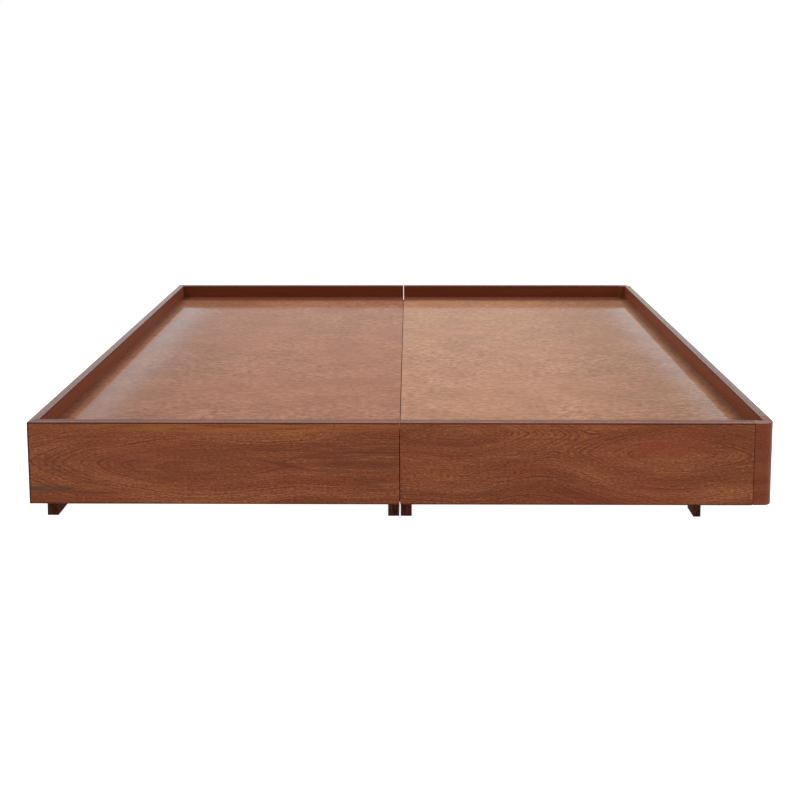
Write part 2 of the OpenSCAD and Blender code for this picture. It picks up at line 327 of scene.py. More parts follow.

# %% [markdown]
# ## Dark arrises, and a top with painted sheen
#
# Two things happen where the faces of a board meet. Stain gathers on the sanded arris and leaves a thin
# dark line along it; along the bottom arris of an upright board the line is painted shade, where shade
# falls under the board. The top edge is painted darker and cooler than the faces, as painted sheen: the
# clear coat over it then shines pale when the light comes in low. Both could be strips of their own, but
# here they are only colour and coat. The distance from the corner, measured round both faces, gives a mask
# a few millimetres wide, and a second mask picks out the top by its height. The second one also sets the
# weight of a clear coat, which the shader lays over the wood.

# %% The places where faces meet
TOP = cad_box[1].z
FACE_Y = cad_box[1].y
END_X = cad_box[1].x
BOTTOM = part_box("head_end_board")[0].z
ARRIS = 0.0042
ARRIS_BROWN = linear(52, 20, 16)
PAINTED_SHEEN_BROWN = linear(52, 36, 38)
SKIN_START, SKIN_END = 0.0012, 0.0004
COAT_ROUGHNESS = 0.12


def painted_sheen_top(finish, colour, amount):
    """(colour, shader sockets) for a board whose top edge is painted darker, as painted sheen, under a clear
    coat.
    """
    top = finish.z.step(TOP - SKIN_START, TOP - SKIN_END) * amount
    sockets = {**LACQUER, "Coat Weight": top, "Coat Roughness": COAT_ROUGHNESS}
    # painted sheen: the top edge is darkened and cooled, so that the coat's highlight reads pale on it
    return finish.mix(top, colour, PAINTED_SHEEN_BROWN), sockets


def arris_line(distance, start=0.6, end=1.0):
    """1 at a corner and 0 beyond the arris, from the distance to the corner."""
    return 1 - distance.step(ARRIS * start, ARRIS * end)


print("boards reach from", round(BOTTOM, 4), "to", round(TOP, 4))


# %% The walnut of an upright board
def upright_walnut(name, grain_axis, outer_face, seed, eyes, marks=(), coat_and_painted_sheen=0.15):
    """Walnut for a board whose outer face lies at outer_face, with its grain along X or Y."""
    finish = Finish(name)
    along, side, reach = (finish.x, finish.y, END_X) if grain_axis == "X" else (finish.y, finish.x, FACE_Y)
    inward = (side - outer_face).size()
    across = finish.z + inward
    colour, relief = veneer_colour(finish, along, across, seed, eyes)
    for centre, size, tint, amount in marks:
        broken = finish.noise(along * 7, across * 150, seed + 29, 2.0).step(0.3, 0.62)
        colour = finish.mix(spot(finish, along, across, centre, size) * broken * amount, colour, tint)
    top_arris = arris_line(TOP - finish.z + inward)
    corner_arris = arris_line(reach - along.size() + inward, 0.8, 1.4)
    # painted shade: the line along the bottom arris stands for shade under the board
    bottom_arris_shade = arris_line(finish.z - BOTTOM + inward)
    colour, extra = painted_sheen_top(finish, colour, coat_and_painted_sheen)
    arris = top_arris.higher_of(corner_arris).higher_of(bottom_arris_shade * 0.7)
    colour = finish.mix(arris * 0.95, colour, ARRIS_BROWN)
    roughness = 0.40 + finish.noise(along * 6, across * 40, seed + 31) * 0.12
    return finish.finish(colour, roughness, relief, GRAIN_RELIEF, extra)


print("the grain runs along each board, and its lines also run lengthwise along the top edge")

# %% The six leaves
MINERAL = linear(62, 50, 34)
GOLD_BAND = ((-0.45, 0.270), (0.75, 0.024), WALNUT_GOLD, 0.5)
DARK_MIDDLE = ((-0.55, 0.170), (0.55, 0.070), linear(94, 46, 26), 0.5)
MINERAL_STREAK = ((-0.97, 0.094), (0.12, 0.010), MINERAL, 0.95)
MINERAL_TAIL = ((-0.86, 0.082), (0.14, 0.007), WALNUT_DARK, 0.7)
DARK_HEART = ((-0.10, 0.185), (0.26, 0.060), linear(84, 38, 24), 0.8)
FLECKS = ((-0.07, 0.101), (0.035, 0.004), linear(50, 30, 20), 0.95)
GOLD_EDGE = ((0.30, 0.270), (0.50, 0.012), WALNUT_GOLD, 0.25)
RED_EYE = ((0.74, 0.210), (0.18, 0.040), WALNUT_RED, 0.5)
RED_PATCH = ((0.36, 0.155), (0.08, 0.025), WALNUT_RED, 0.4)
DARK_CROWN = ((0.15, 0.235), (0.35, 0.050), linear(100, 50, 28), 0.4)

walnut_near_head = upright_walnut(
    "walnut_near_head", "X", -FACE_Y, 2.0, [(-0.555, 0.158, 4.8, -0.10), (-0.10, 0.178, 6.5, -0.35)],
    [GOLD_BAND, DARK_MIDDLE, MINERAL_STREAK, MINERAL_TAIL, DARK_HEART, FLECKS])
walnut_near_foot = upright_walnut(
    "walnut_near_foot", "X", -FACE_Y, 41.0, [(0.17, 0.243, 4.2, 0.2), (0.75, 0.190, 3.6, -0.1)],
    [GOLD_EDGE, RED_EYE, RED_PATCH, DARK_CROWN])
walnut_far_head = upright_walnut(
    "walnut_far_head", "X", FACE_Y, 83.0, [(-0.35, 0.160, 5.5, 0.2), (-0.90, 0.200, 6.0, -0.1)])
walnut_far_foot = upright_walnut(
    "walnut_far_foot", "X", FACE_Y, 127.0, [(0.55, 0.175, 5.0, -0.2), (0.05, 0.150, 6.0, 0.1)])
walnut_head_end = upright_walnut(
    "walnut_head_end", "Y", -END_X, 171.0, [(-0.30, 0.170, 5.5, 0.2), (0.50, 0.190, 5.0, -0.2)], coat_and_painted_sheen=0.55)
walnut_foot_end = upright_walnut(
    "walnut_foot_end", "Y", END_X, 213.0, [(0.25, 0.165, 5.0, 0.25), (-0.60, 0.180, 5.5, -0.1)], coat_and_painted_sheen=0.55)
print("walnut leaves:", [m.name for m in bpy.data.materials if m.name.startswith("walnut_")])

# %% [markdown]
# ## Straight-grained walnut
#
# The lips and the corner posts are narrow, so they are cut with straight grain. The eye of the same
# pattern is simply put far outside the board. The lips' grain runs along them, and they have the same dark
# arris over their inner face, where the lip drops to the deck. The long lips are painted darker, as painted
# shade, and the cross lips lighter, as painted light: they are shaded and lit copies of one walnut. The
# posts are solid and redder than the boards, and their grain runs along the bed too.

# %% Straight-grained walnut for lips and posts
DECK_X, DECK_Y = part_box("deck_foot")[1].x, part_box("deck_foot")[1].y
FAR_EYE = (0.0, 2.4, 5.0, 0.0)


def straight_walnut(name, grain_axis, seed, tint, tint_amount, coat_and_painted_sheen, inner_face=0.0):
    """Plain walnut with its grain along X or Y, and a dark arris over its inner face."""
    finish = Finish(name)
    along, side = (finish.x, finish.y) if grain_axis == "X" else (finish.y, finish.x)
    across = finish.z + side
    colour, relief = veneer_colour(finish, along, across, seed, [FAR_EYE], 0.4)
    colour = finish.mix(tint_amount, colour, tint)
    colour, extra = painted_sheen_top(finish, colour, coat_and_painted_sheen)
    arris = arris_line((side.size() - inner_face).size() + TOP - finish.z)
    colour = finish.mix(arris * 0.9, colour, ARRIS_BROWN)
    roughness = 0.34 + finish.noise(along * 6, across * 40, seed + 31) * 0.12
    return finish.finish(colour, roughness, relief, GRAIN_RELIEF, extra)


POST_RED = linear(90, 36, 17)
# painted shade on the long lips and painted light on the cross lips
LONG_LIP_SHADE_BROWN = linear(84, 34, 17)
CROSS_LIP_LIGHT_BROWN = linear(108, 57, 37)
walnut_lip_long = straight_walnut("walnut_lip_long", "X", 251.0, LONG_LIP_SHADE_BROWN, 0.75, 0.15, DECK_Y)
walnut_lip_cross = straight_walnut("walnut_lip_cross", "Y", 277.0, CROSS_LIP_LIGHT_BROWN, 0.75, 0.45, DECK_X)
walnut_post = straight_walnut("walnut_post", "X", 311.0, POST_RED, 0.55, 0.25)
print("lips and posts:", walnut_lip_long.name, walnut_lip_cross.name, walnut_post.name)

# %% [markdown]
# ## The deck's veneer
#
# The decks are faced with a plain rotary-cut veneer under a satin lacquer. It has no figure, only short
# soft fibres, a mottle of warmer and cooler patches, and fine pores. A darker border along the lips is
# painted shade, where the lips keep light off the deck. The outer end of each deck is painted darker too,
# as painted shade, so it is multiplied by a shade: a mix towards one brown would wash the grain out. The
# lacquer is smooth enough to mirror the rim and the lamps in soft bands. The deck at the foot is lighter.

# %% The deck's two finishes
LIP_SHADE_BROWN = linear(80, 42, 28)
PORE_BROWN = linear(96, 56, 38)
OUTER_PAINTED_SHADE = (0.73, 0.67, 0.64, 1.0)
OUTER_START, OUTER_END = 0.40, 0.85
LIP_SHADE_ACROSS = 0.045
LIP_SHADE_FULL, LIP_SHADE_FADED = 0.035, 0.100
DECK_RELIEF = 0.00001
DECK_LACQUER = {"Specular IOR Level": 0.04}


def deck_veneer(name, seed, base, light, warm, outer_shade_amount):
    """Rotary-cut veneer with its grain along X."""
    finish = Finish(name)
    x, y = finish.x, finish.y
    bend = (finish.noise(x * 3, y * 3, seed) - 0.5) * 0.06
    mottle = finish.noise(x * 48, (y + bend) * 85, seed + 3, 3.0, 0.65)
    streaks = finish.noise(x * 16, (y + bend) * 130, seed + 7, 3.0, 0.65)
    fibre = finish.noise(x * 130, y * 1300, seed + 11, 2.0)
    pores = finish.noise(x * 160, y * 1500, seed + 13, 1.0).step(0.66, 0.73)
    patches = finish.noise(x * 2.6, y * 3.4, seed + 17, 2.0).step(0.35, 0.68)
    clouds = finish.noise(x * 6.5, y * 10.0, seed + 19, 3.0).step(0.35, 0.68)
    lightness = 0.5 + (mottle - 0.5) * 1.9 + (streaks - 0.5) * 1.1 + (fibre - 0.5) * 0.4
    colour = finish.mix(lightness.step(0.0, 1.0), base, light)
    colour = finish.mix(patches * 0.45, colour, warm)
    colour = finish.mix(clouds * 0.35, colour, base)
    colour = finish.mix(pores * 0.25, colour, PORE_BROWN)
    # painted shade: the outer end of each deck is multiplied darker
    colour = finish.mix(x.size().step(OUTER_START, OUTER_END) * outer_shade_amount, colour, OUTER_PAINTED_SHADE, "MULTIPLY")
    # painted shade: a darker border along the lips, where they keep light off the deck
    lip_shade_x = 1 - (DECK_X - x.size() + bend * 0.1).step(0.0, LIP_SHADE_ACROSS)
    lip_shade_y = 1 - (DECK_Y - y.size() + bend * 0.2).step(LIP_SHADE_FULL, LIP_SHADE_FADED)
    colour = finish.mix((lip_shade_x * 0.5).higher_of(lip_shade_y * 0.85), colour, LIP_SHADE_BROWN)
    relief = streaks - pores * 0.2
    roughness = 0.10 + mottle * 0.04
    return finish.finish(colour, roughness, relief, DECK_RELIEF, DECK_LACQUER)


HEAD_BASE, HEAD_LIGHT, HEAD_WARM = linear(99, 62, 45), linear(142, 101, 80), linear(126, 82, 60)
FOOT_BASE, FOOT_LIGHT, FOOT_WARM = linear(109, 75, 56), linear(156, 117, 92), linear(138, 98, 74)
deck_head_finish = deck_veneer("deck_head_finish", 5.0, HEAD_BASE, HEAD_LIGHT, HEAD_WARM, 0.60)
deck_foot_finish = deck_veneer("deck_foot_finish", 61.0, FOOT_BASE, FOOT_LIGHT, FOOT_WARM, 0.90)
print("decks:", deck_head_finish.name, deck_foot_finish.name)

# %% [markdown]
# ## The dark stain of the feet
#
# The feet are beech, stained a very dark brown and a little worn. One flat dark colour would look like
# plastic, so the grain shows as slightly lighter lines that run up the foot, and rubbed spots are lighter
# still. The stain soaks in, so it hardly shines.

# %% The dark stain
STAIN_DARK, STAIN_LIGHT, STAIN_WORN = linear(28, 11, 5), linear(74, 38, 24), linear(104, 60, 40)
STAIN_RELIEF = 0.00015
STAIN_SHINE = {"Specular IOR Level": 0.02}


def dark_stain():
    """Stained beech with its grain upright."""
    finish = Finish("dark_stain")
    grain = finish.noise(finish.x * 300, finish.y * 300, finish.z * 20, 3.0)
    wear = finish.noise(finish.x * 60, finish.y * 60, finish.z * 60, 3.0).step(0.55, 0.75)
    colour = finish.mix(grain.step(0.3, 0.7), STAIN_DARK, STAIN_LIGHT)
    colour = finish.mix(wear * 0.3, colour, STAIN_WORN)
    return finish.finish(colour, 0.6 + grain * 0.12, grain, STAIN_RELIEF, STAIN_SHINE)


stain = dark_stain()
print("feet:", stain.name)

# %% [markdown]
# ## Plywood
#
# The carcass and the drawer boxes are plywood: their faces have a quiet grain, and their edges show the
# layers, with a thin dark line of glue between them. The edges could be dressed with strips of their own,
# but a pattern that runs right through the solid gives faces and edges at once. One layer is 1.5 mm thick.
# Board faces lie on whole half millimetres, so a glue line set a fifth of the way into a layer never
# falls on a face and darkens it all over. The boxes are pale birch, and the carcass is a darker wood.

# %% Plywood, with its layers across one axis
LAYER = 0.0015
GLUE_PLACE, GLUE_REACH = 0.2, 0.08
GLUE_BROWN = linear(84, 56, 38)
KEEP_POSITIVE = 1000.0
PLY_RELIEF = 0.0001


def plywood(name, thickness_axis, pale, dark):
    """Plywood with its layers stacked along X, Y or Z."""
    finish = Finish(name)
    axes = {"X": finish.x, "Y": finish.y, "Z": finish.z}
    stack = axes.pop(thickness_axis)
    along, across = axes.values()
    layer = stack / LAYER
    place_in_layer = (layer + KEEP_POSITIVE).fraction()
    glue = 1 - (place_in_layer - GLUE_PLACE).size().step(GLUE_REACH * 0.5, GLUE_REACH)
    turned = ((layer * 0.5 + KEEP_POSITIVE).fraction() - 0.5).size().step(0.2, 0.3)
    grain = finish.noise(along * 14, across * 220, stack * 900, 3.0, 0.6)
    cloud = finish.noise(along * 5, across * 7, stack * 30, 2.0)
    colour = finish.mix(grain.step(0.25, 0.75) * 0.5 + cloud * 0.4, pale, dark)
    colour = finish.mix(turned * 0.15, colour, dark)
    colour = finish.mix(glue * 0.6, colour, GLUE_BROWN)
    return finish.finish(colour, 0.55 + grain * 0.1, grain - glue, PLY_RELIEF, LACQUER)


BIRCH_PALE, BIRCH_DARK = linear(214, 184, 142), linear(186, 150, 106)
CARCASS_PALE, CARCASS_DARK = linear(168, 124, 88), linear(132, 90, 60)
birch = {axis: plywood(f"birch_plywood_{axis.lower()}", axis, BIRCH_PALE, BIRCH_DARK) for axis in "XYZ"}
carcass_ply = {axis: plywood(f"carcass_plywood_{axis.lower()}", axis, CARCASS_PALE, CARCASS_DARK)
               for axis in "XYZ"}
print("plywood:", len(birch) + len(carcass_ply), "finishes, two woods with layers along X, Y or Z")


# %% [markdown]
# ## Zinc-plated steel
#
# The slides and bolts are zinc-plated steel. The slides are drawn lengthwise, so noise that is stretched
# far along Y stands for their fine scratches, and coarser noise for the crystals of the plating and for
# finger marks. The shader could be told to stretch its highlights instead, but then a bolt would need
# another direction, and a baked finish would lose it.

# %% Zinc-plated steel
ZINC_GREY, ZINC_PALE = linear(176, 178, 180), linear(202, 203, 204)
SCRATCH_RELIEF = 0.00003


def zinc_steel():
    """Drawn steel with a thin zinc plating."""
    finish = Finish("zinc_steel")
    drawn = finish.noise(finish.x * 2200, finish.y * 25, finish.z * 2200, 2.0)
    spangle = finish.noise(finish.x * 90, finish.y * 90, finish.z * 90, 3.0)
    smudge = finish.noise(finish.x * 12, finish.y * 8, finish.z * 12, 2.0).step(0.4, 0.75)
    colour = finish.mix(spangle.step(0.35, 0.65), ZINC_GREY, ZINC_PALE)
    roughness = 0.30 + drawn * 0.12 + smudge * 0.10
    return finish.finish(colour, roughness, drawn, SCRATCH_RELIEF, {"Metallic": 1.0})


steel = zinc_steel()
print("slides and bolts:", steel.name)


# %% [markdown]
# ## Felt
#
# The strips between the modules are black felt, which keeps the two halves from squeaking. Hairs could be
# grown on it, but the strips are thin and mostly hidden. Its fibres lie in every direction, so fine noise
# that isn't stretched does, with a higher relief than the wood's.

# %% Felt
FELT_BLACK, FELT_GREY = linear(14, 12, 12), linear(36, 32, 31)
FELT_RELIEF = 0.0003


def black_felt():
    """Dense felt, matted in every direction."""
    finish = Finish("black_felt")
    mat = finish.noise(finish.x * 700, finish.y * 700, finish.z * 700, 4.0, 0.7)
    colour = finish.mix(mat.step(0.3, 0.7), FELT_BLACK, FELT_GREY)
    return finish.finish(colour, 0.95, mat, FELT_RELIEF, {"Specular IOR Level": 0.1})


felt = black_felt()
print("strips:", felt.name)

# %% [markdown]
# ## From a solid to a finished board
#
# Every board is sawn square and then has its edges eased, because a sharp veneered edge would chip. In
# Blender a board starts as a cube that is scaled to the size of its CAD solid, and the bevel operator
# eases its edges. The easing could be left to a Bevel modifier, but the operator can be told which edges to
# take. It is small, but it catches the light, and without it the board looks like paper. Only real corners
# are eased, so that lines scored in a flat face stay flat.

# %% A block with eased edges
REAL_CORNER = math.radians(40)


def block(low, high):
    """A square-cut block between two corners."""
    bm = bmesh.new()
    bmesh.ops.create_cube(bm, size=1.0)
    bmesh.ops.scale(bm, vec=high - low, verts=bm.verts)
    bmesh.ops.translate(bm, vec=(low + high) / 2, verts=bm.verts)
    return bm


def round_over(bm, edges, radius, segments=2):
    """Rounds the edges that are given."""
    bmesh.ops.bevel(bm, geom=edges, offset=radius, offset_type="OFFSET", segments=segments, profile=0.5,
                    affect="EDGES", material=-1, clamp_overlap=True)


def ease_edges(bm, radius, segments=2):
    """Rounds every real corner of a solid."""
    corners = [edge for edge in bm.edges if edge.is_manifold and edge.calc_face_angle() > REAL_CORNER]
    round_over(bm, corners, radius, segments)


def is_closed(bm):
    """Whether every edge lies between two faces."""
    return all(edge.is_manifold for edge in bm.edges)


trial = block(Vector((0, 0, 0)), Vector((1, 1, 1)))
ease_edges(trial, 0.1)
print("an eased block has", len(trial.faces), "faces, closed:", is_closed(trial))
trial.free()


# %% [markdown]
# ## From a shape to a piece
#
# A shape becomes a piece of the bed when it has a mesh, a finish, a body to ride on and the CAD nodes that
# it stands in for. Its normals are turned outwards first. Flat shading would show every facet of a
# rounding. Smooth shading alone would bend the light over a wide face next to a narrow rounding, so the
# normals are weighted by area, and corners sharper than a set angle stay sharp.

# %% From a bmesh to a piece
SHARPEST_SMOOTH = math.radians(50)


def finish_piece(name, bm, material, *nodes):
    """Makes a piece of a bmesh, which replaces its CAD nodes and rides on their body."""
    bmesh.ops.recalc_face_normals(bm, faces=bm.faces)
    mesh = bpy.data.meshes.new(name)
    bm.to_mesh(mesh)
    bm.free()
    mesh.materials.append(material)
    mesh.polygons.foreach_set("use_smooth", [True] * len(mesh.polygons))
    mesh.set_sharp_from_angle(angle=SHARPEST_SMOOTH)
    piece = bpy.data.objects.new(name, mesh)
    bpy.context.scene.collection.objects.link(piece)
    even_shading = piece.modifiers.new("even_shading", "WEIGHTED_NORMAL")
    even_shading.weight = 100
    even_shading.keep_sharp = True
    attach(piece, body_of[nodes[0]])
    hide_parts(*nodes)
    return piece


# %% [markdown]
# ## Saw cuts
#
# A mitre is a slanting saw cut through a board's end. It could be made by moving the end's corners, but
# `bisect_plane` cuts like a saw wherever the board is, and can throw away the offcut, after which the open
# end is closed with one flat face. When nothing is thrown away, the same cut only scores a line round the
# solid. That is how the posts' steps and the fronts' grooves are marked out below.

# %% Saw cuts and mitres
SAME_PLACE = 1e-6


def cut(bm, place, normal, drop_beyond=False):
    """Cuts the faces along a plane, and can drop what lies on the side that its normal points to."""
    everything = bm.verts[:] + bm.edges[:] + bm.faces[:]
    bmesh.ops.bisect_plane(bm, geom=everything, plane_co=place, plane_no=normal, dist=SAME_PLACE,
                           clear_outer=drop_beyond)


def close_holes(bm):
    """Fills every opening with one flat face."""
    bmesh.ops.holes_fill(bm, edges=[edge for edge in bm.edges if edge.is_boundary], sides=8)


def mitre_end(bm, corner, off_side):
    """Saws a solid along an upright plane through a corner, and drops what lies on the off side."""
    cut(bm, corner, off_side, drop_beyond=True)
    close_holes(bm)


def eased_board(node, material, radius, segments=2, mitres=()):
    """The finished board for a CAD node that is a plain board, or one with mitred ends."""
    bm = block(*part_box(node))
    for corner, off_side in mitres:
        mitre_end(bm, corner, off_side)
    ease_edges(bm, radius, segments)
    return finish_piece("finished_" + node, bm, material, node)


print("points closer than", SAME_PLACE, "m count as one")

# %% [markdown]
# ## The rim and the decks
#
# The head end is one board across the whole width, and its ends are mitred to meet the drawer fronts.
# The foot end board stands between two posts. Inside them runs a lip, and the decks lie between the lips.
# The rim could be one frame, but then no line would show where board and lip meet. As separate boards with
# eased edges they leave a fine groove along the top of the rim, as the real ones do.

# %% Make the end boards, the lips and the decks
RIM_EASE, LIP_EASE, DECK_EASE = 0.0016, 0.0008, 0.0003
HEAD_MITRES = [((-END_X, -FACE_Y, 0), (1, -1, 0)), ((-END_X, FACE_Y, 0), (1, 1, 0))]
eased_board("head_end_board", walnut_head_end, RIM_EASE / 2, 3, HEAD_MITRES)
eased_board("foot_end_board", walnut_foot_end, RIM_EASE, 3)
for node in ("lip_near_head", "lip_far_head", "lip_near_foot", "lip_far_foot"):
    eased_board(node, walnut_lip_long, LIP_EASE)
for node in ("lip_head_end", "lip_foot_end"):
    eased_board(node, walnut_lip_cross, LIP_EASE)
eased_board("deck_head", deck_head_finish, DECK_EASE)
eased_board("deck_foot", deck_foot_finish, DECK_EASE)

# %% [markdown]
# ## The rounded posts
#
# Each post is a square block whose outer upright edge is rounded over. The inner corner is cut away above
# the carcass, so that the deck's corner rests on the step. A boolean could take that corner out of a full
# block, but building the post upwards keeps its faces few and clean. The block is made up to the step
# first. Two cuts split its top into four fields, and the three outside the deck are extruded up to the rim.

# %% Make the posts
POST_RADIUS = 0.027
POST_STEPS = 14
STEP_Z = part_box("deck_foot")[0].z
FACES_UP = 0.9


def shift(bm, grown, offset):
    """Moves the new corners of an extrusion."""
    corners = [item for item in grown if isinstance(item, bmesh.types.BMVert)]
    bmesh.ops.translate(bm, vec=offset, verts=corners)


def rounded_post(node):
    """A post that is rounded at its outer corner and stepped at its inner one."""
    low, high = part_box(node)
    near = low.y < 0
    outer_y = low.y if near else high.y
    bm = block(low, Vector((high.x, high.y, STEP_Z)))
    corner = [edge for edge in bm.edges
              if all(abs(v.co.x - high.x) < SAME_PLACE and abs(v.co.y - outer_y) < SAME_PLACE
                     for v in edge.verts)]
    round_over(bm, corner, POST_RADIUS, POST_STEPS)
    cut(bm, (DECK_X, 0, 0), (1, 0, 0))
    cut(bm, (0, -DECK_Y if near else DECK_Y, 0), (0, 1, 0))
    rim_fields = []
    for face in bm.faces:
        centre = face.calc_center_median()
        on_deck = centre.x < DECK_X and abs(centre.y) < DECK_Y
        if face.normal.z > FACES_UP and not on_deck:
            rim_fields.append(face)
    raised = bmesh.ops.extrude_face_region(bm, geom=rim_fields)["geom"]
    bmesh.ops.delete(bm, geom=rim_fields, context="FACES")
    shift(bm, raised, (0, 0, high.z - STEP_Z))
    bmesh.ops.remove_doubles(bm, verts=bm.verts, dist=SAME_PLACE)
    ease_edges(bm, RIM_EASE)
    print(node, "faces:", len(bm.faces), "closed:", is_closed(bm))
    return finish_piece("finished_" + node, bm, walnut_post, node)


rounded_post("post_near")
rounded_post("post_far")

# %% [markdown]
# ## The drawer fronts
#
# A front is a full-height board with no handle. At the head end it is mitred, so that no edge shows at
# the bed's corner. A long finger groove is milled into the lower edge of its back. It could be a boolean
# cut, but a boolean leaves slivers where faces meet, and bmesh can do it by hand. Four cuts mark out the
# groove's mouth on the back and the underside, and the faces of the mouth are taken out. The front edge of
# the mouth is extruded upwards to make the groove's wall, and then its ceiling and its two ends are filled.

# %% Mill the finger groove
GRIP_MARGIN, GRIP_HEIGHT, GRIP_DEPTH = 0.060, 0.018, 0.008


def mill_groove(bm, left, right, bottom_z, back_y, outward):
    """Mills a groove from left to right into the lower edge of a board's back."""
    wall_y = back_y + outward * GRIP_DEPTH
    groove_top = bottom_z + GRIP_HEIGHT
    cut(bm, (left, 0, 0), (1, 0, 0))
    cut(bm, (right, 0, 0), (1, 0, 0))
    cut(bm, (0, 0, groove_top), (0, 0, 1))
    cut(bm, (0, wall_y, 0), (0, 1, 0))
    mouth = []
    for face in bm.faces:
        centre = face.calc_center_median()
        within = left < centre.x < right
        on_back = abs(centre.y - back_y) < SAME_PLACE and centre.z < groove_top
        under = abs(centre.z - bottom_z) < SAME_PLACE and (centre.y - wall_y) * outward < 0
        if within and (on_back or under):
            mouth.append(face)
    bmesh.ops.delete(bm, geom=mouth, context="FACES")
    rims = [edge for edge in bm.edges if edge.is_boundary]
    front_edge = [edge for edge in rims
                  if all(abs(v.co.y - wall_y) < SAME_PLACE and abs(v.co.z - bottom_z) < SAME_PLACE
                         for v in edge.verts)]
    raised = bmesh.ops.extrude_edge_only(bm, edges=front_edge)["geom"]
    shift(bm, raised, (0, 0, GRIP_HEIGHT))
    ceiling = [edge for edge in bm.edges if edge.is_boundary
               and all(abs(v.co.z - groove_top) < SAME_PLACE for v in edge.verts)]
    bmesh.ops.contextual_create(bm, geom=ceiling)
    close_holes(bm)


print("groove, in mm:", round(GRIP_HEIGHT * 1000), "high and", round(GRIP_DEPTH * 1000), "deep")


# %% Make the fronts
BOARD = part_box("head_end_board")[1].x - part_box("head_end_board")[0].x


def grooved_front(node, material):
    """A front with a finger groove along the lower edge of its back."""
    low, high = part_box(node)
    near, mitred = low.y < 0, low.x < 0
    face_y, back_y, outward = (low.y, high.y, -1) if near else (high.y, low.y, 1)
    bm = block(low, high)
    if mitred:
        mitre_end(bm, (low.x, face_y, 0), (-1, -outward, 0))
    mill_groove(bm, low.x + GRIP_MARGIN + BOARD * mitred, high.x - GRIP_MARGIN, low.z, back_y, outward)
    bmesh.ops.recalc_face_normals(bm, faces=bm.faces)
    ease_edges(bm, RIM_EASE / 2)
    print(node, "faces:", len(bm.faces), "closed:", is_closed(bm))
    return finish_piece("finished_" + node, bm, material, node)


grooved_front("front_near_head", walnut_near_head)
grooved_front("front_near_foot", walnut_near_foot)
grooved_front("front_far_head", walnut_far_head)
grooved_front("front_far_foot", walnut_far_foot)

# %% [markdown]
# ## The drawer boxes
#
# A box is two sides, a back and a thin bottom of birch plywood, and the front closes it. The four boxes
# could be copies of one, but each board already has its own place in the CAD model, so a loop makes them
# all. The boards' edges are eased well, because hands reach in over them.

# %% Make the drawer boxes
DRAWERS = ("near_head", "far_head", "near_foot", "far_foot")
HAND_EASE, BOTTOM_EASE = 0.0018, 0.0004
for drawer in DRAWERS:
    for side in ("left_side_", "right_side_"):
        eased_board(side + drawer, birch["X"], HAND_EASE, 3)
    eased_board("back_" + drawer, birch["Y"], HAND_EASE, 3)
    eased_board("bottom_" + drawer, birch["Z"], BOTTOM_EASE)
print("drawer boxes:", len(DRAWERS))

# %% [markdown]
# ## The drawer slides
#
# A slide is three steel channels that nest in each other. They could be plain bars, but an open drawer
# shows their lips. A channel is bent from strip, so its corners are round: its C-shaped section is drawn
# once and extruded along the drawer, and its corners are eased. The left and the right channel of one kind
# move together, so they are one piece.

# %% Make the slide channels
STRIP = 0.0012
BEND = STRIP * 0.4
CHANNEL_DEPTHS = {"tracks_": 0.012, "slides_": 0.008, "runners_": 0.007}


def channel(low, high, web_x, lip_x):
    """A C-shaped channel between two corners, with its web at web_x and its flanges reaching to lip_x."""
    inner_x = web_x + math.copysign(STRIP, lip_x - web_x)
    section = [(web_x, low.z), (lip_x, low.z), (lip_x, low.z + STRIP), (inner_x, low.z + STRIP),
               (inner_x, high.z - STRIP), (lip_x, high.z - STRIP), (lip_x, high.z), (web_x, high.z)]
    bm = bmesh.new()
    face = bm.faces.new([bm.verts.new((x, low.y, z)) for x, z in section])
    raised = bmesh.ops.extrude_face_region(bm, geom=[face])["geom"]
    shift(bm, raised, (0, high.y - low.y, 0))
    bmesh.ops.recalc_face_normals(bm, faces=bm.faces)
    ease_edges(bm, BEND)
    return bm


def slide_member(kind, drawer):
    """Both channels of one kind, left and right of a drawer."""
    low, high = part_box(kind + drawer)
    depth = CHANNEL_DEPTHS[kind]
    joined = bmesh.new()
    for outer_x, inward in ((low.x, 1), (high.x, -1)):
        inner_x = outer_x + inward * depth
        web_x, lip_x = (inner_x, outer_x) if kind == "runners_" else (outer_x, inner_x)
        part = channel(low, high, web_x, lip_x)
        scratch = bpy.data.meshes.new("scratch")
        part.to_mesh(scratch)
        part.free()
        joined.from_mesh(scratch)
        bpy.data.meshes.remove(scratch)
    return finish_piece("finished_" + kind + drawer, joined, steel, kind + drawer)


for drawer in DRAWERS:
    for kind in CHANNEL_DEPTHS:
        slide_member(kind, drawer)
print("slide members:", len(DRAWERS) * len(CHANNEL_DEPTHS))

# %% [markdown]
# ## The feet
#
# A foot is a sawn block with a counterbored hole for its bolt. It could be a new block with the hole cut
# again, but the holes are already in the CAD solid, so the foot starts as a copy of it. The copy comes as
# loose triangles: their corners are joined, and the block's own square edges are eased. The lines between
# triangles lie in flat faces, so they are passed over. The rims of the holes are made of short pieces of
# edge, so a limit on length keeps them as they are.

# %% Make the feet
FOOT_EASE = 0.0012
SHORTEST_SAWN_EDGE = 0.015
NEARLY_SQUARE = math.radians(80), math.radians(100)


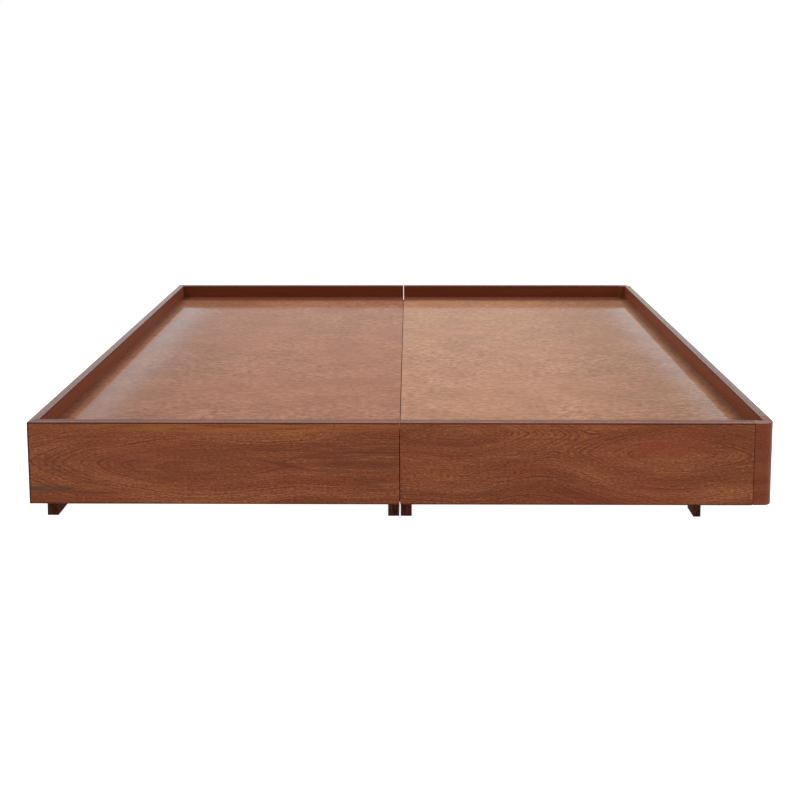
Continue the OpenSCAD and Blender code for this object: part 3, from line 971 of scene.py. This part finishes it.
def eased_feet(node):
    """Feet with eased edges and their bolt holes."""
    bm = bmesh.new()
    bm.from_mesh(frame["nodes"][node].data)
    bm.transform(frame["nodes"][node].matrix_world)
    bmesh.ops.remove_doubles(bm, verts=bm.verts, dist=SAME_PLACE)
    low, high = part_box(node)
    sawn = [edge for edge in bm.edges if edge.is_manifold and edge.calc_length() > SHORTEST_SAWN_EDGE
            and NEARLY_SQUARE[0] < edge.calc_face_angle() < NEARLY_SQUARE[1]
            and all(min(abs(v.co.z - low.z), abs(v.co.z - high.z)) < SAME_PLACE for v in edge.verts)]
    round_over(bm, sawn, FOOT_EASE)
    print(node, "sawn edges:", len(sawn), "closed:", is_closed(bm))
    return finish_piece("finished_" + node, bm, stain, node)


eased_feet("feet_wide")
eased_feet("feet_narrow")

# %% [markdown]
# ## What stays as the CAD made it
#
# The panels, spines and rails under the deck are square-cut plywood with drilled holes, and their CAD
# solids already have the right shape. They only take a finish: the plywood whose layers are stacked
# across their thin side. The bolts and nuts take the steel, and the strips between the modules the felt.

# %% Give the CAD solids their finishes
def dress(node, material):
    """Puts a finish on a CAD node."""
    data = frame["nodes"][node].data
    data.materials.clear()
    data.materials.append(material)


for node in ("panel_head_outer", "panel_head_inner", "panel_foot_inner", "panel_foot_outer"):
    dress(node, carcass_ply["X"])
for node in ("spine_head", "spine_foot"):
    dress(node, carcass_ply["Y"])
for node in ("bottom_rails_head", "bottom_rails_foot", "cross_rails"):
    dress(node, carcass_ply["Z"])
for node in ("connector_bolts", "connector_nuts", "foot_bolts"):
    dress(node, steel)
dress("joint_strips", felt)
print("CAD solids dressed")

# %% [markdown]
# ## The studio
#
# A catalogue picture shows a bed on pure white, with no shadow under it. Paper that is only lit would
# show a soft grey shadow, so the floor glows evenly, like a light table, and the surroundings are white
# too. The floor is a plain sheet, far larger than the view, with the faintest mottle of paper.

# %% Make the floor
FLOOR_SIZE = 60.0
FLOOR_GLOW = 0.95
PAPER_GREY, PAPER_PALE = (0.30, 0.30, 0.30, 1.0), (0.31, 0.31, 0.31, 1.0)
PAPER_ROUGHNESS, PAPER_HEIGHT, PAPER_RELIEF = 0.9, 0.0, 0.0001
WHITE = (1.0, 1.0, 1.0, 1.0)

bm = bmesh.new()
bmesh.ops.create_grid(bm, x_segments=1, y_segments=1, size=FLOOR_SIZE / 2)
floor_mesh = bpy.data.meshes.new("floor")
bm.to_mesh(floor_mesh)
bm.free()
floor = bpy.data.objects.new("floor", floor_mesh)
bpy.context.scene.collection.objects.link(floor)
floor_finish = Finish("floor_finish")
fibres = floor_finish.noise(floor_finish.x * 3, floor_finish.y * 3, 0.0)
paper_shade = floor_finish.mix(fibres, PAPER_GREY, PAPER_PALE)
floor_glow = {"Emission Color": WHITE, "Emission Strength": FLOOR_GLOW, "Specular IOR Level": 0.0}
paper = floor_finish.finish(paper_shade, PAPER_ROUGHNESS, PAPER_HEIGHT, PAPER_RELIEF, floor_glow)
floor_mesh.materials.append(paper)
print("floor:", FLOOR_SIZE, "m square")

# %% Make the surroundings
world = bpy.data.worlds.new("studio")
bpy.context.scene.world = world
world.use_nodes = True
surroundings = world.node_tree.nodes["Background"]
surroundings.inputs["Color"].default_value = WHITE
surroundings.inputs["Strength"].default_value = 1.0
bpy.context.scene.view_settings.view_transform = "Standard"
print("surroundings:", world.name)


# %% [markdown]
# ## The lamps
#
# White light from all round looks flat by itself. A broad lamp behind the bed and one at each side, all
# shining straight down, make the tops brighter than the fronts. One lamp overhead could do that too, but it
# would leave the rim's inner faces dark. The side lamps are kept out of mirror images, because the lacquer
# would smear them over the decks. Two long cool strips hang lower, and reach far behind the bed to the left
# and right. They are there for their mirror image, the pale sheen on the decks beside the walls.

# %% Hang the lamps
DAYLIGHT, COOL = (1.0, 1.0, 1.0), (0.36, 0.84, 1.0)
BACK_PLACE, BACK_SIZE, BACK_WATTS = Vector((0.0, 6.0, 5.2)), (5.0, 1.6), 320
SIDE_PLACE, SIDE_SIZE, SIDE_WATTS = Vector((3.6, 0.0, 4.6)), (1.6, 4.0), 235
STRIP_PLACE, STRIP_SIZE, STRIP_WATTS = Vector((3.70, 12.0, 3.2)), (0.24, 16.0), 44


def soft_lamp(name, place, size, watts, tint, mirrored=True):
    """A rectangular lamp that shines down and isn't seen itself, except perhaps in the lacquer."""
    lamp = bpy.data.objects.new(name, bpy.data.lights.new(name, "AREA"))
    bpy.context.scene.collection.objects.link(lamp)
    lamp.data.shape = "RECTANGLE"
    lamp.data.size, lamp.data.size_y = size
    lamp.data.energy = watts
    lamp.data.color = tint
    lamp.location = place
    lamp.visible_camera = False
    lamp.visible_glossy = mirrored
    return lamp


soft_lamp("back", BACK_PLACE, BACK_SIZE, BACK_WATTS, DAYLIGHT)
for side in (-1, 1):
    to_that_side = Vector((side, 1, 1))
    soft_lamp(f"side_{side}", SIDE_PLACE * to_that_side, SIDE_SIZE, SIDE_WATTS, DAYLIGHT, mirrored=False)
    soft_lamp(f"strip_{side}", STRIP_PLACE * to_that_side, STRIP_SIZE, STRIP_WATTS, COOL)

# %% [markdown] ## The end The scene is complete once the lamps hang.
# The finished pieces have to stay inside the box that the CAD model had.
